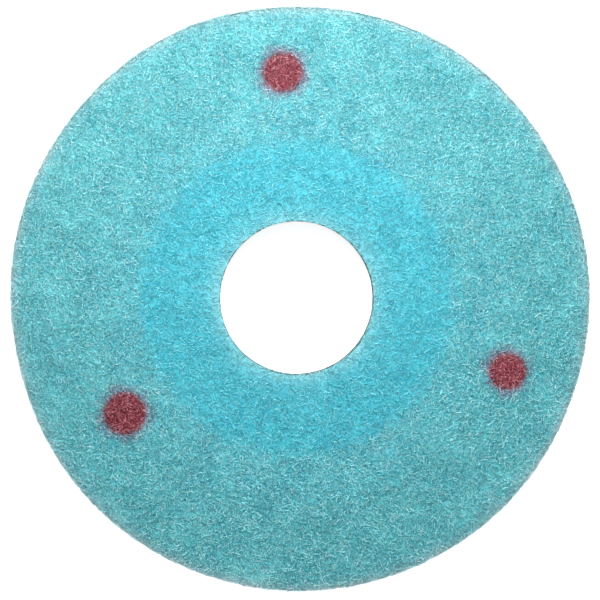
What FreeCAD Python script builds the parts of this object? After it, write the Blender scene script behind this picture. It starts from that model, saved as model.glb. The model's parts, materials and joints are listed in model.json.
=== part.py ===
import FreeCAD, Part
import math
import os

# Round floor pad for a rotary floor machine: a lofty non-woven web, open in its middle and crusted
# with binder on both faces. A ring of abrasive coat is sprayed into the working face and leaves the
# face round the hole plain, and colour spots that mark the pad's grade are sprayed on the coat.
# The pad lies on its back face with the working face up. Its origin is on the hole's axis, at the
# height of the back face. All sizes are in millimetres.

# Plan of the pad
pad_diameter = 330.0
hole_diameter = 86.0
coat_inner_diameter = 176.0

# Build-up of the pad, from the back face to the working face
back_layer_thickness = 2.0
core_thickness = 18.0
working_layer_thickness = 2.0

# How deep the sprays soak in, from the working face down
coat_depth = 1.0
spot_depth = 0.6

# The rim's two edges lose their sharpness where the die leaves them
rim_rounding = 0.8

# The spots are sprayed by hand, so each has its own diameter, its own distance outward from the
# middle of the coat's width, and its own angle from +X towards +Y in degrees
colour_spots = (
    {"diameter": 21.0, "outward": 1.3, "angle": 93.6},
    {"diameter": 19.5, "outward": -0.4, "angle": 340.8},
    {"diameter": 22.5, "outward": -9.5, "angle": 213.8},
)

# Worked out from the sizes above
pad_radius = pad_diameter / 2
hole_radius = hole_diameter / 2
coat_inner_radius = coat_inner_diameter / 2
coat_middle_radius = (coat_inner_radius + pad_radius) / 2
core_bottom = back_layer_thickness
core_top = core_bottom + core_thickness
face_height = core_top + working_layer_thickness
coat_bottom = face_height - coat_depth
spot_bottom = face_height - spot_depth

same_size = 1e-6


def ring(outer_radius, inner_radius, bottom, top):
    """A flat ring round the Z axis, between two heights."""
    base = FreeCAD.Vector(0, 0, bottom)
    outside = Part.makeCylinder(outer_radius, top - bottom, base)
    inside = Part.makeCylinder(inner_radius, top - bottom, base)
    return outside.cut(inside)


def circular_edges(shape, radius, height):
    """The full circles of this radius that lie at this height."""
    found = []
    for edge in shape.Edges:
        if not isinstance(edge.Curve, Part.Circle):
            continue
        right_size = abs(edge.Curve.Radius - radius) < same_size
        if right_size and abs(edge.Curve.Center.z - height) < same_size:
            found.append(edge)
    return found


def round_rim(shape, height):
    """Rounds the pad's outer edge at this height."""
    return shape.makeFillet(rim_rounding, circular_edges(shape, pad_radius, height))


def spot_disc(spot):
    """One colour spot: a thin disc, flush with the working face."""
    distance = coat_middle_radius + spot["outward"]
    angle = math.radians(spot["angle"])
    base = FreeCAD.Vector(distance * math.cos(angle), distance * math.sin(angle), spot_bottom)
    return Part.makeCylinder(spot["diameter"] / 2, spot_depth, base)


def back_layer():
    """The binder-rich crust on the back face, which the machine's pad driver grips."""
    return round_rim(ring(pad_radius, hole_radius, 0.0, core_bottom), 0.0)


def web_core():
    """The open, lofty middle of the web."""
    return ring(pad_radius, hole_radius, core_bottom, core_top)


def working_layer():
    """The crust on the working face, full depth round the hole and thinner under the coat."""
    crust = ring(pad_radius, hole_radius, core_top, face_height)
    return crust.cut(ring(pad_radius, coat_inner_radius, coat_bottom, face_height))


def abrasive_coat(discs):
    """The ring of sprayed abrasive, flush with the plain face, with a pocket for each spot."""
    coat = round_rim(ring(pad_radius, coat_inner_radius, coat_bottom, face_height), face_height)
    for disc in discs:
        coat = coat.cut(disc)
    return coat


def write(node, shape):
    """Checks one sub-part and writes its STEP file."""
    if not shape.isValid() or len(shape.Solids) != 1:
        raise ValueError(node + " is not one valid solid")
    shape.Solids[0].exportStep(os.path.join("parts", node + ".step"))
    print(node, round(shape.Volume), "mm3")


os.makedirs("parts", exist_ok=True)
spot_discs = [spot_disc(spot) for spot in colour_spots]
write("back_layer", back_layer())
write("web_core", web_core())
write("working_layer", working_layer())
write("abrasive_coat", abrasive_coat(spot_discs))
for number, disc in enumerate(spot_discs, start=1):
    write("colour_spot_" + str(number), disc)
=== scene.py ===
# %% [markdown]
# # A floor pad made of curly fibres
# A floor pad is a thick disc cut from non-woven web: thousands of crimped synthetic fibres, glued by
# binder wherever they cross. This lesson loads the pad's plain layers as a fixed frame, then builds
# what the eye sees in their place: lumpy skins of matted binder, and real fibres lying on them. A
# felt pattern on flat discs would look right only from above, so the fibres here are geometry.

# %% Load the frame
import json
import math

import bpy
import numpy as np
from mathutils import Matrix, Vector, noise


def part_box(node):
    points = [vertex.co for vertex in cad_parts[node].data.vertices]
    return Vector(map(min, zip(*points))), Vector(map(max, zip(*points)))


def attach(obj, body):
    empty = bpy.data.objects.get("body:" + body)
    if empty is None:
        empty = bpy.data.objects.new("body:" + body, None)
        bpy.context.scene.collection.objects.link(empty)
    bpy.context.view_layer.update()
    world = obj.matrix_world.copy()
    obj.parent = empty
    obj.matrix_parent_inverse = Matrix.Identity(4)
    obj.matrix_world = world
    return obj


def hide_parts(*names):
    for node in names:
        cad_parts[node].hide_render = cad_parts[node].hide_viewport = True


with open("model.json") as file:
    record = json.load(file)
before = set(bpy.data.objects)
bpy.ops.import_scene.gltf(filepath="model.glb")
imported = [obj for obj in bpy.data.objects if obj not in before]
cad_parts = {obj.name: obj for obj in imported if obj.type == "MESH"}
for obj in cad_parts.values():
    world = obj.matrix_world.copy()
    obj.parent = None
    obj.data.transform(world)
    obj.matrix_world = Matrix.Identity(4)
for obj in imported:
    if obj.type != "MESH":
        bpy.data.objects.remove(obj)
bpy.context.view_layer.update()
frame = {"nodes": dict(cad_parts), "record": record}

# %% [markdown]
# Every size comes from the frame. The layers' boxes give the heights and the rim, the record's mount
# gives the hole, and the coat's own points give the radius at which the spray begins.

# %% Read the pad's sizes
MM = 0.001

mounts = {mount["name"]: mount for mount in frame["record"]["mounts"]}
hole_radius = mounts["centre_hole"]["dims"]["r_mm"] * MM
pad_radius = (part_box("web_core")[1][0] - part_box("web_core")[0][0]) / 2
core_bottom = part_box("web_core")[0][2]
core_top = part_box("web_core")[1][2]
face_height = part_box("working_layer")[1][2]
coat_points = frame["nodes"]["abrasive_coat"].data.vertices
coat_inner_radius = min(math.hypot(v.co.x, v.co.y) for v in coat_points)

spots = {}
for node in sorted(frame["nodes"]):
    if node.startswith("colour_spot"):
        spot_low, spot_high = (Vector(corner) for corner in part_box(node))
        middle = (spot_low + spot_high) / 2
        spots[node] = (Vector((middle.x, middle.y, face_height)), (spot_high.x - spot_low.x) / 2)

print("rim", round(pad_radius, 4), "hole", round(hole_radius, 4), "coat from", round(coat_inner_radius, 4))
print("spots", {name: round(radius, 4) for name, (_, radius) in spots.items()})

# %% [markdown]
# ## The cut
# A die presses the pad out of a wide roll of soft web. The web squirms under the blade, so the rim
# comes out a little oval and wavy, and not quite centred on the hole. The waves are a short sum of
# cosines. Only the outer part of the pad follows them: the hole is punched clean.

# %% The uneven edge
# times round the pad, depth in metres, and the angle in degrees where the first crest lies
cut_waves = (
    (1, 1.75 * MM, -4),
    (2, 1.00 * MM, 98),
    (3, 0.22 * MM, 11),
    (4, 0.22 * MM, -43),
    (6, 0.15 * MM, -5),
    (7, 0.27 * MM, 11),
)
soft_rim = 0.15 * pad_radius        # how far in from the rim the web is pushed about


def as_cut(points):
    """Moves points of the true round pad to where the die left them."""
    radius = np.hypot(points[:, 0], points[:, 1])
    angle = np.arctan2(points[:, 1], points[:, 0])
    push = np.zeros(len(points))
    for turns, depth, crest in cut_waves:
        push += depth * np.cos(turns * (angle - math.radians(crest)))
    share = np.clip((radius - pad_radius + soft_rim) / soft_rim, 0, 1.2)
    share = share * share * (3 - 2 * np.minimum(share, 1))
    stretch = 1 + push * share / np.maximum(radius, hole_radius / 2)
    return points * np.stack([stretch, stretch, np.ones(len(points))], axis=1)


turns_round = np.linspace(0, 2 * math.pi, 90)
true_rim = np.stack([np.cos(turns_round), np.sin(turns_round), np.zeros(90)], axis=1) * pad_radius
reach = np.hypot(*as_cut(true_rim)[:, :2].T)
print("the rim runs from", round(reach.min(), 4), "to", round(reach.max(), 4), "from the hole's middle")

# %% [markdown]
# ## Helpers for nodes
# The sky, the fibres and the materials are all node trees. Small helpers keep their code short:
# add() makes a node and fills in its settings, and the others do one sum, ease one value or blend
# two colours. Each takes plain values and links alike.

# %% Node helpers
def add(tree, kind, inputs=None, **settings):
    """A new node. Settings are its own fields; inputs are values or links, by socket name or number."""
    node = tree.nodes.new(kind)
    for name, value in settings.items():
        setattr(node, name, value)
    for name, value in (inputs or {}).items():
        if isinstance(value, bpy.types.NodeSocket):
            tree.links.new(value, node.inputs[name])
        else:
            node.inputs[name].default_value = value
    return node


def sum_of(tree, operation, first, second=0.0, third=0.0):
    """One Math node and its answer."""
    node = add(tree, "ShaderNodeMath", {0: first, 1: second, 2: third}, operation=operation)
    return node.outputs[0]


def vector_of(tree, operation, first, second=(0, 0, 0)):
    """One Vector Math node and its vector."""
    return add(tree, "ShaderNodeVectorMath", {0: first, 1: second}, operation=operation).outputs[0]


def length_of(tree, vector):
    """The length of a vector."""
    return add(tree, "ShaderNodeVectorMath", {0: vector}, operation="LENGTH").outputs["Value"]


def eased(tree, value, start, end, low=0.0, high=1.0):
    """Runs smoothly from low to high while value goes from start to end."""
    given = {"Value": value, "From Min": start, "From Max": end, "To Min": low, "To Max": high}
    node = add(tree, "ShaderNodeMapRange", given, interpolation_type="SMOOTHSTEP")
    return node.outputs["Result"]


def held(tree, value, low, high):
    """A value kept between two others."""
    return sum_of(tree, "MINIMUM", sum_of(tree, "MAXIMUM", value, low), high)


def cloudy(tree, place, per_metre, detail):
    """Soft noise at a place, with this many lumps to the metre."""
    inputs = {"Vector": place, "Scale": per_metre, "Detail": detail}
    return add(tree, "ShaderNodeTexNoise", inputs).outputs[0]


def blended(tree, share, first, second, mode="MIX"):
    """One Mix node on two colours, each a colour or a link."""
    node = add(tree, "ShaderNodeMix", data_type="RGBA", blend_type=mode)
    for socket, given in zip((node.inputs[0], node.inputs[6], node.inputs[7]), (share, first, second)):
        if isinstance(given, bpy.types.NodeSocket):
            tree.links.new(given, socket)
        elif socket.type == "RGBA":
            socket.default_value = (*given, 1)
        else:
            socket.default_value = given
    return node.outputs[2]


helpers = (add, sum_of, vector_of, length_of, eased, held, cloudy, blended)
print("node helpers:", [helper.__name__ for helper in helpers])

# %% [markdown]
# ## Camera and light
# The pad is looked at square on from above, from well back, so the hole's wall shows only as a thin
# line. The camera leans a touch to one side, which puts that line at the lower right. A wide soft
# light hangs beyond the pad's far edge, and a pale sky fills every shadow. The sky is left out of
# reflections, as a studio's dark cloths do it, so that the pores between fibres keep their colour
# and only the lamp draws glints on the strands.

# %% Camera and light
camera_back = 4.0                   # from the working face
camera_lens = 425.0                 # millimetres, on a sensor 36 mm wide
camera_lean = Vector((-0.088, 0.074, 0))
aim = Vector((1.7 * MM, -1.1 * MM, face_height))

camera = bpy.data.objects.new("camera", bpy.data.cameras.new("camera"))
camera.data.lens = camera_lens
camera.data.sensor_width = 36.0
camera.location = aim + camera_lean + Vector((0, 0, camera_back))
backward = (camera.location - aim).normalized()
rightward = Vector((0, 1, 0)).cross(backward).normalized()
upward = backward.cross(rightward)
camera.rotation_mode = "QUATERNION"
camera.rotation_quaternion = Matrix((rightward, upward, backward)).transposed().to_quaternion()
camera.data.clip_start, camera.data.clip_end = 0.01, 20
bpy.context.scene.collection.objects.link(camera)
bpy.context.scene.camera = camera


def soft_light(name, place, size, watts):
    """A square soft box that faces the pad."""
    lamp = bpy.data.lights.new(name, "AREA")
    lamp.size, lamp.energy = size, watts
    box = bpy.data.objects.new(name, lamp)
    box.location = place
    box.rotation_mode = "QUATERNION"
    box.rotation_quaternion = (Vector((0, 0, face_height)) - Vector(place)).to_track_quat("-Z", "Y")
    bpy.context.scene.collection.objects.link(box)


soft_light("key_light", place=(0, 0.38, 0.44), size=0.35, watts=5.55)
print("camera", tuple(round(x, 3) for x in camera.location))

# %% The sky
sky_low, sky_high = 1.14, 0.80      # its strength towards the horizon, and overhead

sky = bpy.data.worlds.new("sky")
sky.use_nodes = True
sky_tree = sky.node_tree
toward = add(sky_tree, "ShaderNodeTexCoord").outputs["Generated"]
climb = add(sky_tree, "ShaderNodeSeparateXYZ", {0: toward}).outputs["Z"]
dim = add(sky_tree, "ShaderNodeMapRange", {
    "Value": climb, "From Min": 0.12, "From Max": 0.6, "To Min": sky_low, "To Max": sky_high})
mirrored = add(sky_tree, "ShaderNodeLightPath").outputs["Is Glossy Ray"]
strength = sum_of(sky_tree, "MULTIPLY", dim.outputs[0], sum_of(sky_tree, "SUBTRACT", 1.0, mirrored))
backdrop = sky_tree.nodes["Background"]
backdrop.inputs["Color"].default_value = (1, 1, 1, 1)
sky_tree.links.new(strength, backdrop.inputs["Strength"])
bpy.context.scene.world = sky
bpy.context.scene.view_settings.view_transform = "Standard"
print("sky:", sky_low, "near the horizon,", sky_high, "overhead")

# %% [markdown]
# ## What is sprayed where
# The whole working face is one web. The abrasive coat is sprayed on outside a mask, and the spots
# through three holes in a stencil, so nothing has a sharp edge: fine drops drift under the mask. A
# shared node group works out how much coat, overspray and spot colour lies at each point, and every
# material of the working face reads it. That keeps neighbouring pieces in step across their seam.

# %% The spray group
def spray_group():
    """Shares of coat, spot and overspray at each point of the working face."""
    tree = bpy.data.node_groups.new("sprays", "ShaderNodeTree")
    for name in ("Coat", "Spot", "Overspray"):
        tree.interface.new_socket(name, in_out="OUTPUT", socket_type="NodeSocketFloat")
    place = add(tree, "ShaderNodeTexCoord").outputs["Object"]
    flat = vector_of(tree, "MULTIPLY", place, (1, 1, 0))
    ragged = sum_of(tree, "MULTIPLY_ADD", cloudy(tree, place, 160.0, 3.0), 10 * MM, -5 * MM)
    gritty = sum_of(tree, "MULTIPLY_ADD", cloudy(tree, place, 700.0, 2.0), 8 * MM, -4 * MM)

    from_middle = sum_of(tree, "ADD", length_of(tree, flat), ragged)
    coat = eased(tree, from_middle, coat_inner_radius - 5 * MM, coat_inner_radius + 6 * MM)

    spot, overspray = 0.0, 0.0
    for centre, radius in spots.values():
        away = length_of(tree, vector_of(tree, "SUBTRACT", flat, (centre.x, centre.y, 0)))
        edge = sum_of(tree, "ADD", away, gritty)
        spot = sum_of(tree, "MAXIMUM", spot, eased(tree, edge, radius + 2.4 * MM, radius - 1.2 * MM))
        drift = sum_of(tree, "ADD", away, sum_of(tree, "ADD", ragged, gritty))
        cloud = eased(tree, drift, radius + 8 * MM, radius + 0.5 * MM)
        overspray = sum_of(tree, "MAXIMUM", overspray, cloud)
    out = add(tree, "NodeGroupOutput")
    for name, value in (("Coat", coat), ("Spot", spot), ("Overspray", overspray)):
        tree.links.new(value, out.inputs[name])
    return tree


sprays = spray_group()
print("spray group:", len(sprays.nodes), "nodes")

# %% [markdown]
# ## Finishes
# One recipe makes all the finishes. Each has three colours: that of a fibre with little light on it,
# that of a bright one, and that of one that catches the light and turns nearly white. The coat is
# thinner near its inner edge, so it has a second set there, and it builds up outward. No spray gets
# into the cut walls. The hole's wall gets the deepest colour of all, a painted shade, and the rim's
# frayed edge gets grey, a painted shade line.

# %% Colours of each finish: a deep fibre, a bright one, and one that catches the light
PLAIN = ((0.012, 0.390, 0.515), (0.150, 0.825, 0.930), (0.360, 0.850, 0.925))
COATED = ((0.006, 0.260, 0.335), (0.280, 0.965, 0.985), (0.590, 0.890, 0.940))
COATED_THINLY = ((0.006, 0.290, 0.400), (0.284, 0.975, 0.990), (0.590, 0.900, 0.950))
CRIMSON = ((0.125, 0.004, 0.014), (0.490, 0.056, 0.100), (0.820, 0.400, 0.450))
CLOUD = ((0.055, 0.060, 0.130), (0.420, 0.440, 0.590), (0.780, 0.800, 0.880))
CORE = ((0.030, 0.310, 0.385), (0.240, 0.800, 0.850), (0.550, 0.900, 0.930))
# painted shade: these greys draw a dark line along the rim's working edge
SHADE_LINE_GREY = ((0.100, 0.130, 0.140), (0.360, 0.410, 0.420), (0.620, 0.650, 0.660))
# painted shade: the hole's wall is drawn this dark
HOLE_WALL_SHADE = ((0.015, 0.060, 0.068), (0.095, 0.235, 0.255), (0.220, 0.380, 0.400))
# painted highlights: the rounded cut edges of the working face, at the hole and at the rim, drawn paler
HOLE_EDGE_HIGHLIGHT = (0.40, 0.78, 0.82)
RIM_EDGE_HIGHLIGHT = (0.70, 0.71, 0.72)
TEAL_TINT = (0.94, 1.00, 0.97)

print("bright fibre: plain", PLAIN[1], "coated", COATED[1], "spot", CRIMSON[1])

# %% [markdown]
# A fibre's share of light comes from its own random number, so no two neighbours match, and from
# flecks along it. The flecks are noise in four dimensions: the fourth is the fibre's own number, so
# crossing fibres don't share a pattern. A skin has no fibres of its own, so a tangle of fine curly
# lines stands in for them. Over both lies broad mottling, and on the cut sides also faint strata,
# because the web is laid down in thin layers.

# %% Light on the fibres and on the skins
own_share = 0.54                    # how much a fibre's own number counts for in its share of light


def curls(tree, place, per_metre, shift):
    """1 along a tangle of fine curly lines, 0 in the pores between them."""
    inputs = {"Vector": place, "W": shift, "Scale": per_metre, "Detail": 1.0}
    field = add(tree, "ShaderNodeTexNoise", inputs, noise_dimensions="4D").outputs[0]
    away = sum_of(tree, "ABSOLUTE", sum_of(tree, "SUBTRACT", field, 0.5))
    return eased(tree, away, 0.0, 0.05, 1.0, 0.0)


def light_on_fibres(tree, place):
    """The shares of light and of glint along a fibre."""
    own = add(tree, "ShaderNodeAttribute", attribute_name="strand").outputs["Fac"]
    inputs = {"Vector": place, "W": sum_of(tree, "MULTIPLY", own, 60.0), "Scale": 1100.0, "Detail": 2.0}
    fleck = add(tree, "ShaderNodeTexNoise", inputs, noise_dimensions="4D").outputs[0]
    share = sum_of(tree, "MULTIPLY_ADD", own, own_share, eased(tree, fleck, 0.41, 0.59, -0.13, 0.70))
    glint = eased(tree, sum_of(tree, "MULTIPLY_ADD", own, 0.30, fleck), 0.68, 0.80, 0.0, 0.8)
    return share, glint


def light_on_skin(tree, place, grain):
    """The share of light on matted binder, and the tangle that stands up from it."""
    tangle = sum_of(tree, "MAXIMUM", curls(tree, place, 480.0, 0.0), curls(tree, place, 760.0, 5.0))
    share = sum_of(tree, "MULTIPLY_ADD", tangle, 0.5, eased(tree, grain, 0.3, 0.7, 0.0, 0.15))
    return share, tangle


def mottled(tree, place, share, mottle, strata):
    """The share of light with mottling added, and strata where asked, kept between 0 and 1."""
    share = sum_of(tree, "ADD", share, sum_of(tree, "MULTIPLY_ADD", mottle, 0.45, -0.225))
    if strata:
        flattened = vector_of(tree, "MULTIPLY", place, (60, 60, 420))       # lumps far wider than high
        layers = sum_of(tree, "MULTIPLY_ADD", cloudy(tree, flattened, 1.0, 2.0), 0.8, -0.42)
        share = sum_of(tree, "ADD", share, layers)
    return held(tree, share, 0.0, 1.0)


print("a fibre's own number counts for", own_share, "of its share of light")

# %% [markdown]
# The colours are laid on in the order in which the pad gets them: the dyed web, the coat, the
# overspray round each spot, the spot, and at last a painted highlight along the cut edges of the
# working face, broken up by the mottling. Last comes depth, as painted shade: a fibre that lies low
# gets less light.

# %% Colour, sprays, painted edge highlight and painted shade
deepest_shade = 0.56                # the share of light that reaches the lowest fibres


def tone(tree, light, stops):
    """A finish's own colour for its shares of light and of glint."""
    share, glint = light
    deep, bright, catching = stops
    return blended(tree, glint, blended(tree, share, deep, bright), catching)


def unsprayed(tree, light, outward, body, mottle):
    """The colour of web that no spray reaches, with painted shade: dark by the hole, grey on the rim's
    line.
    """
    colour = tone(tree, light, body)
    # the rim's dark line is painted shade, broken into patches by the mottling
    if body is SHADE_LINE_GREY:
        kept = eased(tree, mottle, 0.36, 0.52, 0.35, 1.0)
        colour = blended(tree, kept, tone(tree, light, CORE), colour)
    # painted shade: near the hole the unsprayed web is drawn dark
    past_wall_shade = eased(tree, outward, hole_radius + 1.5 * MM, hole_radius + 3 * MM)
    return blended(tree, past_wall_shade, tone(tree, light, HOLE_WALL_SHADE), colour)


def sprayed_over(tree, light, outward, body):
    """The colour of the working face, with the coat, the overspray and the spots on it."""
    spray = add(tree, "ShaderNodeGroup", node_tree=sprays).outputs
    build_up = eased(tree, outward, coat_inner_radius, coat_inner_radius + 45 * MM)
    coat = blended(tree, build_up, tone(tree, light, COATED_THINLY), tone(tree, light, COATED))
    colour = blended(tree, spray["Coat"], tone(tree, light, body), coat)
    cloud = sum_of(tree, "MULTIPLY", spray["Overspray"], 0.8)
    colour = blended(tree, cloud, colour, tone(tree, light, CLOUD))
    return blended(tree, spray["Spot"], colour, tone(tree, light, CRIMSON))


def finished(tree, place, colour, outward, mottle, edge_light_strength):
    """The colour with its faint teal tint, its painted edge highlight and the painted shade of its depth.
    """
    layer = add(tree, "ShaderNodeAttribute", attribute_name="layer").outputs["Fac"]
    edge_light = add(tree, "ShaderNodeAttribute", attribute_name="edge_light").outputs["Fac"]
    tint = blended(tree, eased(tree, cloudy(tree, place, 140.0, 3.0), 0.45, 0.65), (1, 1, 1), TEAL_TINT)
    colour = blended(tree, 1.0, colour, tint, "MULTIPLY")
    # painted highlight: the working face is drawn paler towards each cut edge, in patches
    edge_light_colour = blended(tree, eased(tree, outward, hole_radius, pad_radius), HOLE_EDGE_HIGHLIGHT, RIM_EDGE_HIGHLIGHT)
    patchy_edge_light = sum_of(tree, "MULTIPLY", edge_light, eased(tree, mottle, 0.38, 0.62, 0.75 * edge_light_strength, 1.25 * edge_light_strength))
    colour = blended(tree, patchy_edge_light, colour, edge_light_colour)
    shade = eased(tree, layer, 0.0, 1.0, deepest_shade, 1.0)
    grey = add(tree, "ShaderNodeCombineColor", {0: shade, 1: shade, 2: shade}).outputs[0]
    return blended(tree, 1.0, colour, grey, "MULTIPLY")


print("the lowest fibres get", deepest_shade, "of the light")

# %% [markdown]
# The recipe puts these together. A fine grain varies the roughness and stands up as a slight bump,
# with the tangle added on the skins, which have no fibres to catch the light.

# %% The recipe
def web_material(name, sprayed, fibres, body=PLAIN, edge_light_strength=0.8):
    """The finish of a skin or of the fibres on it. A sprayed one reads the coat and the spots."""
    made = bpy.data.materials.new(name)
    made.use_nodes = True
    tree = made.node_tree
    place = add(tree, "ShaderNodeTexCoord").outputs["Object"]
    outward = length_of(tree, vector_of(tree, "MULTIPLY", place, (1, 1, 0)))
    mottle = cloudy(tree, place, 55.0, 4.0)
    grain = cloudy(tree, place, 900.0, 3.0)
    if fibres:
        share, glint = light_on_fibres(tree, place)
        relief = grain
    else:
        share, tangle = light_on_skin(tree, place, grain)
        glint, relief = 0.0, sum_of(tree, "ADD", tangle, grain)
    light = (mottled(tree, place, share, mottle, strata=not sprayed), glint)
    if sprayed:
        colour = sprayed_over(tree, light, outward, body)
    else:
        colour = unsprayed(tree, light, outward, body, mottle)

    shader = tree.nodes["Principled BSDF"]
    shader.inputs["Specular IOR Level"].default_value = 0.42
    tree.links.new(finished(tree, place, colour, outward, mottle, edge_light_strength), shader.inputs["Base Color"])
    tree.links.new(eased(tree, grain, 0.3, 0.7, 0.38, 0.68), shader.inputs["Roughness"])
    bump = add(tree, "ShaderNodeBump", {"Strength": 0.3, "Distance": 0.2 * MM, "Height": relief})
    tree.links.new(bump.outputs[0], shader.inputs["Normal"])
    return made


finishes = {
    "working_skin": web_material("working_skin", sprayed=True, fibres=False),
    "working_fibres": web_material("working_fibres", sprayed=True, fibres=True),
    "core_skin": web_material("core_skin", sprayed=False, fibres=False, body=CORE),
    "core_fibres": web_material("core_fibres", sprayed=False, fibres=True, body=CORE),
    # painted shade: grey fibres for the dark line along the rim's edge
    "shade_line_fibres": web_material("shade_line_fibres", sprayed=False, fibres=True, body=SHADE_LINE_GREY, edge_light_strength=0.3),
    # painted shade: dark fibres for the hole's wall
    "hole_shade_fibres": web_material("hole_shade_fibres", sprayed=False, fibres=True, body=HOLE_WALL_SHADE, edge_light_strength=0.0),
}
print("finishes:", {name: len(made.node_tree.nodes) for name, made in finishes.items()}, "nodes")

# %% [markdown]
# ## Skins
# Under the loose fibres lies web so matted with binder that it reads as one lumpy surface. Each
# layer's skin is a closed ring: a profile of radius and height, carried round the axis. Stretches
# that show are divided finely, and the seams between layers are left as single long steps. The
# skins sit a little inside the true size, because the fibres make up the rest. Shading is smooth
# but breaks at each sharp corner, or the hidden seams would darken the face next to them.

# %% Lumps and profiles
rumple = ((150.0, 0.25 * MM), (420.0, 0.22 * MM))       # lumps per metre, and how high
noise.seed_set(5)                   # unseeded, the lumps would change with the clock at each run


def rumpled(points):
    """Points pushed about by smooth lumps, the same for every piece that shares a place."""
    pushed = points.copy()
    for pitch, height in rumple:
        for i, point in enumerate(points):
            push = noise.noise_vector(Vector(point) * pitch)
            pushed[i] += np.array(push) * height
    pushed[:, 2] = np.maximum(pushed[:, 2], 0.1 * MM)
    return pushed


def run(start, end, pitch):
    """Points from start up to, but not at, end, about one pitch apart. A pitch of None is one step."""
    gap = math.dist(start, end)
    count = 1 if pitch is None else max(1, round(gap / pitch))
    return [tuple(a + (b - a) * i / count for a, b in zip(start, end)) for i in range(count)]


def profile_through(corners):
    """A closed profile through (radius, height, pitch of the stretch that follows) corners."""
    points = []
    for (r, z, pitch), (next_r, next_z, _) in zip(corners, corners[1:] + corners[:1]):
        points += run((r, z), (next_r, next_z), pitch)
    return points


print("a 5 mm stretch at a pitch of 1.7 mm is cut at", run((0.0, 0.0), (5 * MM, 0.0), 1.7 * MM))

# %% [markdown]
# Every piece ends the same way. It stores how much painted highlight each point gets from a cut edge
# of the working face, which the finishes read, while it is still truly round, and only then follows
# the uneven cut. The highlight fades over a few millimetres from each edge of the working face, and
# faster down the wall than along the face.

# %% Marks and the cut
def piece_from(name, points, faces, material, smooth=True):
    """A mesh object at the origin."""
    mesh = bpy.data.meshes.new(name)
    mesh.from_pydata(points, [], faces)
    mesh.materials.append(material)
    mesh.polygons.foreach_set("use_smooth", [smooth] * len(mesh.polygons))
    mesh.update()
    piece = bpy.data.objects.new(name, mesh)
    bpy.context.scene.collection.objects.link(piece)
    return piece


def mark(mesh, name, values):
    """Stores one number for each vertex, which the finishes read."""
    layer = mesh.attributes.get(name) or mesh.attributes.new(name, "FLOAT", "POINT")
    layer.data.foreach_set("value", np.asarray(values, dtype=np.float32))


# painted highlight of the cut edges: each edge's radius, and how far in the paler colour reaches
edge_light_reach = ((pad_radius, 2.3 * MM), (hole_radius, 4.2 * MM))       # each cut edge, and how far in
steeper = 2.5                       # the painted highlight fades this much faster down the wall than along the face


def edge_light_at(points):
    """How much painted highlight each point gets: 1 on a cut edge of the working face, 0 well away from it.
    """
    radius = np.hypot(points[:, 0], points[:, 1])
    edge_light = np.zeros(len(points))
    for edge_radius, reach in edge_light_reach:
        away = np.hypot(radius - edge_radius, steeper * (points[:, 2] - face_height))
        edge_light = np.maximum(edge_light, np.exp(-away / reach))
    return edge_light


def all_points(mesh):
    """A mesh's vertices as rows of x, y, z."""
    points = np.empty(len(mesh.vertices) * 3)
    mesh.vertices.foreach_get("co", points)
    return points.reshape(-1, 3)


def trim(piece, layer=None):
    """The last step on each piece: its marks, then the uneven cut."""
    points = all_points(piece.data)
    mark(piece.data, "edge_light", edge_light_at(points))
    if layer is not None:
        mark(piece.data, "layer", np.full(len(points), layer))
    piece.data.vertices.foreach_set("co", as_cut(points).ravel())
    piece.data.update()


on_rim, inward = np.array([[pad_radius, 0, face_height]]), np.array([[2 * MM, 0, 0]])
print("rub on the rim", edge_light_at(on_rim), "and 2 mm in", edge_light_at(on_rim - inward).round(2))

# %% [markdown]
# Each skin is a ring of profiles, with a face between each pair of neighbours. Its corners are given
# as radius, height and the pitch of the stretch that follows, going round once.

# %% The four layers' skins
nap = 0.85 * MM                     # how far the fibres stand over the skin
skin_steps = 640                    # round the pad
skin_layer = 0.35                   # how deep a skin counts as lying, for its shade
sharp_corner = math.radians(50)


def ring_skin(name, corners, material):
    """A closed ring skin with lumps."""
    profile = profile_through(corners)
    turn = np.arange(skin_steps) * 2 * math.pi / skin_steps
    radius, height = (np.array(side) for side in zip(*profile))
    points = np.stack([
        np.outer(np.cos(turn), radius),
        np.outer(np.sin(turn), radius),
        np.tile(height, (skin_steps, 1)),
    ], axis=2).reshape(-1, 3)
    count = len(profile)
    faces = []
    for i in range(skin_steps):
        here, there = i * count, (i + 1) % skin_steps * count
        for j in range(count):
            k = (j + 1) % count
            faces.append((here + j, there + j, there + k, here + k))
    piece = piece_from(name, rumpled(points), faces, material)
    trim(piece, layer=skin_layer)
    piece.data.set_sharp_from_angle(angle=sharp_corner)
    print(name, len(piece.data.polygons), "faces")
    return piece


rim, hole = pad_radius - nap, hole_radius + nap
floor_side, face_side = nap, face_height - nap
coat_floor = face_side - 0.6 * MM
bevel, bevel_pitch = 1.2 * MM, 0.5 * MM
wall_pitch, face_pitch, back_pitch = 1.4 * MM, 1.7 * MM, 3.5 * MM

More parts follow.
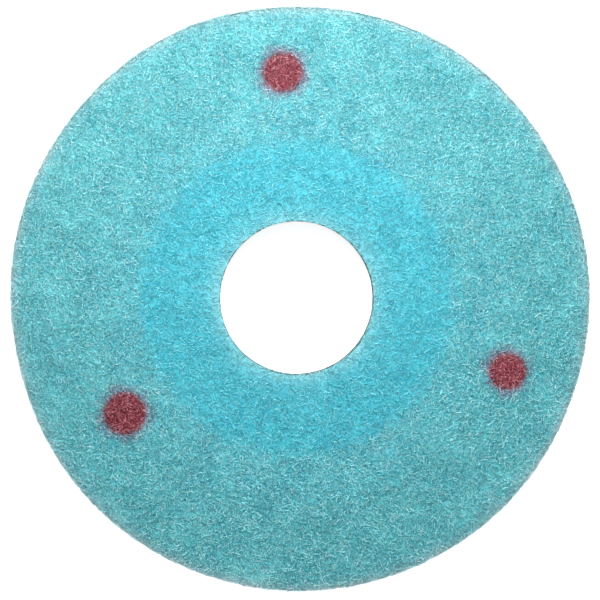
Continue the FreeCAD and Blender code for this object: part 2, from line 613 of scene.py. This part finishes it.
back_crust = ring_skin("back_crust", [
    (hole, floor_side, back_pitch), (rim - bevel, floor_side, bevel_pitch),
    (rim, floor_side + bevel / 2, wall_pitch), (rim, core_bottom, None),
    (hole, core_bottom, wall_pitch),
], finishes["core_skin"])
core_web = ring_skin("core_web", [
    (hole, core_bottom, None), (rim, core_bottom, wall_pitch),
    (rim, core_top, None), (hole, core_top, wall_pitch),
], finishes["core_skin"])
plain_face = ring_skin("plain_face", [
    (hole, core_top, None), (rim, core_top, None),
    (rim, coat_floor, None), (coat_inner_radius, coat_floor, None),
    (coat_inner_radius, face_side, face_pitch), (hole, face_side, wall_pitch),
], finishes["working_skin"])
coat_face = ring_skin("coat_face", [
    (coat_inner_radius, coat_floor, None), (rim, coat_floor, None),
    (rim, face_side - bevel / 3, bevel_pitch), (rim - bevel, face_side, face_pitch),
    (coat_inner_radius, face_side, None),
], finishes["working_skin"])

# %% [markdown]
# A spot's skin is a thin lens of soaked-in colour. Its edge dives under the coat's skin, so the line
# where they meet is as ragged as the lumps are.

# %% Shape the spots
spot_proud, spot_dip, spot_thick = 0.12 * MM, 0.5 * MM, 0.45 * MM


def spot_skin(name, centre, radius, material):
    """A closed lens that follows the face's lumps and dips at its edge."""
    rings, steps = 14, 72
    underside = face_side - spot_thick
    points = [(centre.x, centre.y, face_side + spot_proud), (centre.x, centre.y, underside)]
    for side in (1, -1):
        for i in range(1, rings + 1 if side == 1 else rings):
            share = i / rings
            height = face_side + spot_proud - spot_dip * share ** 6 if side == 1 else underside
            for j in range(steps):
                turn = 2 * math.pi * j / steps
                points.append((centre.x + radius * share * math.cos(turn),
                               centre.y + radius * share * math.sin(turn), height))
    top = [2 + i * steps for i in range(rings)]
    under = [2 + (rings + i) * steps for i in range(rings - 1)] + [top[-1]]
    faces = []
    for j in range(steps):
        k = (j + 1) % steps
        faces.append((0, top[0] + j, top[0] + k))
        faces.append((1, under[0] + k, under[0] + j))
        for low, high in zip(top, top[1:]):
            faces.append((low + j, high + j, high + k, low + k))
        for low, high in zip(under, under[1:]):
            faces.append((low + k, high + k, high + j, low + j))
    piece = piece_from(name, rumpled(np.array(points)), faces, material)
    trim(piece, layer=skin_layer)
    print(name, len(piece.data.polygons), "faces")
    return piece


spot_crusts = {}
for node, (centre, radius) in spots.items():
    spot_crusts[node] = spot_skin(node + "_crust", centre, radius, finishes["working_skin"])

# %% [markdown]
# ## Fibres
# The web's fibres are crimped like wool, so that they tangle and spring. Placing them by hand is out
# of the question, and a hair system would need its own renderer settings. A Geometry Nodes tree does
# it: scatter points on a surface, lay a straight strand on each, realize them, and push every point
# along by noise. Each strand reads the noise at its own place in a fourth dimension, so each curls
# its own way. Points that stray past a cut edge are pulled back to it, as if the die had cut them.
#
# Every random draw has a seed of its own. Draws that share one give the same number for a strand, so
# its length would depend on the way it points, and the pad would show light and dark wedges.

# %% The sizes of a fibre
FIBRE_SIZES = (
    ("Fibres per square metre", 250000.0),
    ("Length", 3.1 * MM),
    ("Thickness", 0.28 * MM),
    ("Bends", 4.0),
    ("Crimp", 2.6 * MM),
    ("Crimps per metre", 600.0),
    ("Loft", 2.5 * MM),
    ("Sunk by", 0.9 * MM),
    ("Spread", math.pi),
    ("Rim radius", pad_radius - 0.5 * MM),
    ("Hole radius", hole_radius + 0.45 * MM),
    ("Lowest", 0.2 * MM),
    ("Highest", face_height + 0.3 * MM),
)
for label, size in FIBRE_SIZES:
    print(label, round(size, 5))

# %% [markdown]
# The tree draws random numbers and lets each point remember some of them under a name: the strand's
# own number, how deep it lies, and which way is up from the surface. Three small helpers do that.

# %% Draw, remember and recall
def drawn(tree, seed, low, high, kind="FLOAT"):
    """A random number, or vector, for each point."""
    first = 0 if kind == "FLOAT_VECTOR" else 2
    node = add(tree, "FunctionNodeRandomValue", {first: low, first + 1: high, "Seed": seed}, data_type=kind)
    return node.outputs[0 if kind == "FLOAT_VECTOR" else 1]


def remember(tree, points, name, value, kind="FLOAT"):
    """Stores a value on points, under a name."""
    inputs = {"Geometry": points, "Name": name, "Value": value}
    node = add(tree, "GeometryNodeStoreNamedAttribute", inputs, data_type=kind, domain="POINT")
    return node.outputs[0]


def recalled(tree, name, kind="FLOAT"):
    """A stored value."""
    node = add(tree, "GeometryNodeInputNamedAttribute", {"Name": name}, data_type=kind)
    return node.outputs["Attribute"]


print("each point of a strand remembers its strand, layer and upward")

# %% [markdown]
# The tree is put together from four steps. The first lays straight strands: the surface's normal
# stands each one upright, a random turn points it somewhere, and a random stretch along its own
# length makes it longer or shorter.

# %% Step one: straight strands
stretch_low, stretch_high = (0.55, 1, 1), (1.3, 1, 1)       # along the strand only


def straight_strands(tree, given, seeds):
    """Straight strands laid on the surface, as loose curves."""
    scatter = add(tree, "GeometryNodeDistributePointsOnFaces", {
        "Mesh": given["Surface"], "Density": given["Fibres per square metre"], "Seed": given["Seed"]})
    upward = scatter.outputs["Normal"]
    across = vector_of(tree, "CROSS_PRODUCT", (0, 0, 1), upward)
    upright = add(tree, "FunctionNodeAlignRotationToVector", {"Vector": upward}, axis="Z").outputs[0]
    level = add(tree, "FunctionNodeAlignRotationToVector", {"Rotation": upright, "Vector": across},
                axis="X", pivot_axis="Z").outputs[0]
    one_way = sum_of(tree, "MULTIPLY", given["Spread"], -0.5)
    other_way = sum_of(tree, "MULTIPLY", given["Spread"], 0.5)
    yaw = drawn(tree, seeds["yaw"], one_way, other_way)
    turn = add(tree, "FunctionNodeAxisAngleToRotation", {"Axis": (0, 0, 1), "Angle": yaw}).outputs[0]
    lay = add(tree, "FunctionNodeRotateRotation", {"Rotation": level, "Rotate By": turn},
              rotation_space="LOCAL").outputs[0]

    points = scatter.outputs["Points"]
    points = remember(tree, points, "strand", drawn(tree, seeds["strand"], 0.0, 1.0))
    points = remember(tree, points, "layer", drawn(tree, seeds["layer"], 0.0, 1.0))
    points = remember(tree, points, "upward", upward, "FLOAT_VECTOR")

    half = sum_of(tree, "MULTIPLY", given["Length"], 0.5)
    start = add(tree, "ShaderNodeCombineXYZ", {"X": sum_of(tree, "MULTIPLY", half, -1.0)}).outputs[0]
    end = add(tree, "ShaderNodeCombineXYZ", {"X": half}).outputs[0]
    line = add(tree, "GeometryNodeCurvePrimitiveLine", {"Start": start, "End": end}).outputs[0]
    strand = add(tree, "GeometryNodeResampleCurve", {"Curve": line, "Count": given["Bends"]}).outputs[0]
    stretch = drawn(tree, seeds["stretch"], stretch_low, stretch_high, "FLOAT_VECTOR")
    laid = add(tree, "GeometryNodeInstanceOnPoints", {
        "Points": points, "Instance": strand, "Rotation": lay, "Scale": stretch}).outputs[0]
    return add(tree, "GeometryNodeRealizeInstances", {"Geometry": laid}).outputs[0]


print("a strand is stretched by", stretch_low[0], "to", stretch_high[0], "times its length")

# %% [markdown]
# The second step curls the strands. Noise swings every point about, by the crimp along the surface
# and by the loft away from it, and the strand's depth sinks it. The third step cuts: a point past
# the rim, the hole or either face is brought back to it.

# %% Steps two and three: curl and cut
def scaled(tree, vector, factor):
    """A vector times a number."""
    return add(tree, "ShaderNodeVectorMath", {0: vector, "Scale": factor}, operation="SCALE").outputs[0]


def curled(tree, given, curves):
    """The strands crimped by noise and sunk to their own depth."""
    fourth = sum_of(tree, "MULTIPLY", recalled(tree, "strand"), 900.0)
    curl = add(tree, "ShaderNodeTexNoise", {
        "Vector": add(tree, "GeometryNodeInputPosition").outputs[0], "W": fourth,
        "Scale": given["Crimps per metre"], "Detail": 1.0, "Roughness": 0.6}, noise_dimensions="4D")
    swing = vector_of(tree, "SUBTRACT", curl.outputs["Color"], (0.5, 0.5, 0.5))
    upward = recalled(tree, "upward", "FLOAT_VECTOR")
    dot = add(tree, "ShaderNodeVectorMath", {0: swing, 1: upward}, operation="DOT_PRODUCT")
    crimped = scaled(tree, swing, given["Crimp"])
    loft_left = sum_of(tree, "SUBTRACT", given["Loft"], given["Crimp"])
    flatten = sum_of(tree, "MULTIPLY", dot.outputs["Value"], loft_left)
    below = sum_of(tree, "SUBTRACT", recalled(tree, "layer"), 1.0)
    depth = sum_of(tree, "MULTIPLY", below, given["Sunk by"])
    along = scaled(tree, upward, sum_of(tree, "ADD", flatten, depth))
    offset = vector_of(tree, "ADD", crimped, along)
    return add(tree, "GeometryNodeSetPosition", {"Geometry": curves, "Offset": offset}).outputs[0]


def cut_to_size(tree, given, curves):
    """The strands with every point brought back inside the pad."""
    place = add(tree, "GeometryNodeInputPosition").outputs[0]
    where = add(tree, "ShaderNodeSeparateXYZ", {0: place}).outputs
    out_to = length_of(tree, vector_of(tree, "MULTIPLY", place, (1, 1, 0)))
    within = held(tree, out_to, given["Hole radius"], given["Rim radius"])
    pull = sum_of(tree, "DIVIDE", within, out_to)
    inside = add(tree, "ShaderNodeCombineXYZ", {
        "X": sum_of(tree, "MULTIPLY", where["X"], pull), "Y": sum_of(tree, "MULTIPLY", where["Y"], pull),
        "Z": held(tree, where["Z"], given["Lowest"], given["Highest"])}).outputs[0]
    return add(tree, "GeometryNodeSetPosition", {"Geometry": curves, "Position": inside}).outputs[0]


usual = dict(FIBRE_SIZES)
print("strands are kept from", round(usual["Hole radius"], 4), "to", round(usual["Rim radius"], 4), "m out")

# %% [markdown]
# The last step gives the strands a body: a tube with three sides, which is enough at this size,
# closed at both ends, each a little thinner or plumper than the next. Bends is the number of points
# along a strand: four for a short one and seven for a long one keep the whole pad light.

# %% Step four, and the whole tree
thinnest, plumpest = 0.65, 1.25     # a strand's share of the usual thickness


def tubes(tree, given, curves, seed):
    """Closed three-sided tubes along the strands."""
    plump = drawn(tree, seed, thinnest, plumpest)
    thick = add(tree, "GeometryNodeSetCurveRadius", {"Curve": curves, "Radius": plump}).outputs[0]
    section = add(tree, "GeometryNodeCurvePrimitiveCircle", {
        "Resolution": 3, "Radius": sum_of(tree, "MULTIPLY", given["Thickness"], 0.5)}).outputs[0]
    tube = add(tree, "GeometryNodeCurveToMesh", {
        "Curve": thick, "Profile Curve": section, "Fill Caps": True}).outputs[0]
    bare = add(tree, "GeometryNodeRemoveAttribute", {"Geometry": tube, "Name": "upward"}).outputs[0]
    return add(tree, "GeometryNodeSetShadeSmooth", {"Geometry": bare}).outputs[0]


def fibre_tree():
    """Curly fibres on any surface. Its inputs are the sizes above, a seed and a material."""
    tree = bpy.data.node_groups.new("curly fibres", "GeometryNodeTree")
    tree.interface.new_socket("Surface", in_out="INPUT", socket_type="NodeSocketGeometry")
    for name, usual in FIBRE_SIZES:
        tree.interface.new_socket(name, in_out="INPUT", socket_type="NodeSocketFloat").default_value = usual
    tree.interface.new_socket("Seed", in_out="INPUT", socket_type="NodeSocketInt")
    tree.interface.new_socket("Finish", in_out="INPUT", socket_type="NodeSocketMaterial")
    tree.interface.new_socket("Fibres", in_out="OUTPUT", socket_type="NodeSocketGeometry")
    given = add(tree, "NodeGroupInput").outputs
    draws = ("strand", "layer", "yaw", "stretch", "plump")
    seeds = {name: sum_of(tree, "ADD", given["Seed"], 100.0 * (i + 1)) for i, name in enumerate(draws)}

    curves = curled(tree, given, straight_strands(tree, given, seeds))
    mesh = tubes(tree, given, cut_to_size(tree, given, curves), seeds["plump"])
    whole = add(tree, "GeometryNodeRealizeInstances", {"Geometry": mesh}).outputs[0]
    dressed = add(tree, "GeometryNodeSetMaterial", {"Geometry": whole, "Material": given["Finish"]})
    add(tree, "NodeGroupOutput", {"Fibres": dressed.outputs[0]})
    return tree


fibres = fibre_tree()
sockets = {item.name: item.identifier for item in fibres.interface.items_tree if item.in_out == "INPUT"}
print("fibre tree:", len(fibres.nodes), "nodes, inputs", sorted(sockets))

# %% [markdown]
# The surfaces that carry the fibres are plain helpers, flat or upright, cut like a cake where one
# piece would grow too heavy.

# %% Surfaces to grow fibres on
sector_step = math.radians(5)       # a helper surface has a face about this often


def ring_patch(inner, outer, height, start=0.0, end=2 * math.pi, down=False):
    """Part of a flat ring that faces up, or down."""
    steps = max(3, round((end - start) / sector_step))
    points, faces = [], []
    for i in range(steps + 1):
        turn = start + (end - start) * i / steps
        points.append((inner * math.cos(turn), inner * math.sin(turn), height))
        points.append((outer * math.cos(turn), outer * math.sin(turn), height))
    for i in range(steps):
        corners = (2 * i, 2 * i + 1, 2 * i + 3, 2 * i + 2)
        faces.append(corners[::-1] if down else corners)
    return points, faces


def wall_patch(radius, bottom, top, start=0.0, end=2 * math.pi, inward=False):
    """Part of an upright wall that faces out, or in towards the hole."""
    steps = max(3, round((end - start) / sector_step))
    points, faces = [], []
    for i in range(steps + 1):
        turn = start + (end - start) * i / steps
        points.append((radius * math.cos(turn), radius * math.sin(turn), bottom))
        points.append((radius * math.cos(turn), radius * math.sin(turn), top))
    for i in range(steps):
        corners = (2 * i, 2 * i + 2, 2 * i + 3, 2 * i + 1)
        faces.append(corners[::-1] if inward else corners)
    return points, faces


def disc_patch(centre, radius, height):
    """A flat disc that faces up."""
    steps = 40
    ring = [(centre.x + radius * math.cos(2 * math.pi * i / steps),
             centre.y + radius * math.sin(2 * math.pi * i / steps), height) for i in range(steps)]
    return ring, [tuple(range(steps))]


def sectors(count):
    """Start and end angles of a ring's equal parts."""
    step = 2 * math.pi / count
    return [(i * step, (i + 1) * step) for i in range(count)]


print("eight sectors start at", [round(math.degrees(start)) for start, _ in sectors(8)], "degrees")

# %% [markdown]
# grow() puts the tree on such a surface, makes the result a plain mesh and throws the surface away.
# The coated part is cut in eight, the plain ring in two, and each spot has a disc of its own. The
# sprayed parts get a few more fibres to the area, because the spray makes more of them show.

# %% Lay the fibres of the working face
def grow(name, patch, material, seed, **sizes):
    """Grows fibres on a patch and returns them as one plain mesh piece."""
    carrier = piece_from(name + "_carrier", *patch, material)
    modifier = carrier.modifiers.new("fibres", "NODES")
    modifier.node_group = fibres
    modifier[sockets["Seed"]] = seed
    modifier[sockets["Finish"]] = material
    for label, value in sizes.items():
        modifier[sockets[label.replace("_", " ")]] = float(value)
    bpy.context.view_layer.update()
    grown = carrier.evaluated_get(bpy.context.evaluated_depsgraph_get())
    mesh = bpy.data.meshes.new_from_object(grown)
    mesh.name = name
    bpy.data.objects.remove(carrier)
    piece = bpy.data.objects.new(name, mesh)
    bpy.context.scene.collection.objects.link(piece)
    trim(piece)
    triangles = sum(len(p.vertices) - 2 for p in mesh.polygons)
    print(name, triangles, "triangles")
    return piece


face = face_height
coat_fibres = [
    grow("coat_fibres_" + str(i + 1), ring_patch(coat_inner_radius, pad_radius, face, *part),
         finishes["working_fibres"], seed=10 + i, Fibres_per_square_metre=860000.0)
    for i, part in enumerate(sectors(8))
]
plain_fibres = [
    grow("plain_fibres_" + str(i + 1), ring_patch(hole_radius, coat_inner_radius, face, *part),
         finishes["working_fibres"], seed=20 + i, Fibres_per_square_metre=780000.0)
    for i, part in enumerate(sectors(2))
]
spot_fibres = {
    node: grow(node + "_fibres", disc_patch(centre, radius, face + 0.1 * MM), finishes["working_fibres"],
               seed=30 + i, Fibres_per_square_metre=900000.0)
    for i, (node, (centre, radius)) in enumerate(spots.items())
}

# %% [markdown]
# On the cut walls and the back no binder crust mats the web, so its fibres show at nearly their full
# length, thicker and in wider curls. They lie mostly along the wall, as the web's layers do. The rim's
# working edge gets a narrow band of short, dull grey ends, a painted shade line. The hole's fibres are
# painted dark as shade and stop just under the face, so that no dark strand lies on its bright edge.

# %% Lay the fibres of the cut walls and the back
long_fibres = {"Bends": 7, "Crimp": 3 * MM, "Crimps_per_metre": 330.0}
wall_fibres = {**long_fibres, "Thickness": 0.4 * MM, "Fibres_per_square_metre": 220000.0, "Spread": 2.2}

rim_fibres = [
    grow("rim_fibres_" + str(i + 1), wall_patch(pad_radius - 0.3 * MM, 0, face, *part),
         finishes["core_fibres"], seed=40 + i, Length=9 * MM, Rim_radius=pad_radius, **wall_fibres)
    for i, part in enumerate(sectors(2))
]
# painted shade: short grey fibres draw the dark line along the rim's working edge
rim_shade_line = grow("rim_shade_line", wall_patch(pad_radius - 0.25 * MM, face - 1.6 * MM, face - 0.3 * MM),
                finishes["shade_line_fibres"], seed=45, Fibres_per_square_metre=500000.0, Spread=1.2,
                Rim_radius=pad_radius)
# painted shade: the hole's wall fibres are drawn dark
hole_fibres = grow("hole_fibres", wall_patch(hole_radius, 0, face - 2 * MM, inward=True),
                   finishes["hole_shade_fibres"], seed=50, Length=8 * MM, Highest=face - 1.2 * MM, **wall_fibres)
back_fibres = [
    grow("back_fibres_" + str(i + 1), ring_patch(hole_radius, pad_radius, 0.25 * MM, *part, down=True),
         finishes["core_fibres"], seed=60 + i, Length=9 * MM, Fibres_per_square_metre=36000.0,
         **long_fibres)
    for i, part in enumerate(sectors(2))
]

# %% [markdown]
# ## Hand the pieces over
# Each piece rides on the one body and takes the place of the plain layer that it belongs to.

# %% Ride and replace
def hand_over(pieces, node):
    """Tells the frame what these pieces ride on and stand for."""
    for piece in pieces:
        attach(piece, "root")
        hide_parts(node)


hand_over([back_crust, *back_fibres], "back_layer")
hand_over([core_web, *rim_fibres, rim_shade_line, hole_fibres], "web_core")
hand_over([plain_face, *plain_fibres], "working_layer")
hand_over([coat_face, *coat_fibres], "abrasive_coat")
for node in spots:
    hand_over([spot_crusts[node], spot_fibres[node]], node)

# %% [markdown]
# ## Floor
# A plain pale floor, so bright that it nearly vanishes. It has a finish of its own with a trace of
# grain, and it isn't part of the pad.

# %% The floor
floor_material = bpy.data.materials.new("pale_floor")
floor_material.use_nodes = True
floor_tree = floor_material.node_tree
floor_grain = add(floor_tree, "ShaderNodeTexNoise", {"Scale": 40.0, "Detail": 2.0}).outputs[0]
floor_shader = floor_tree.nodes["Principled BSDF"]
floor_shader.inputs["Base Color"].default_value = (0.92, 0.92, 0.92, 1)
floor_shader.inputs["Emission Color"].default_value = (1, 1, 1, 1)
floor_shader.inputs["Emission Strength"].default_value = 0.60
floor_roughness = eased(floor_tree, floor_grain, 0.3, 0.7, 0.75, 0.9)
floor_tree.links.new(floor_roughness, floor_shader.inputs["Roughness"])
floor_half = 3.0
floor_corners = [(x * floor_half, y * floor_half, 0) for x, y in ((-1, -1), (1, -1), (1, 1), (-1, 1))]
floor = piece_from("floor", floor_corners, [(0, 1, 2, 3)], floor_material, smooth=False)
print("floor", 2 * floor_half, "m wide")
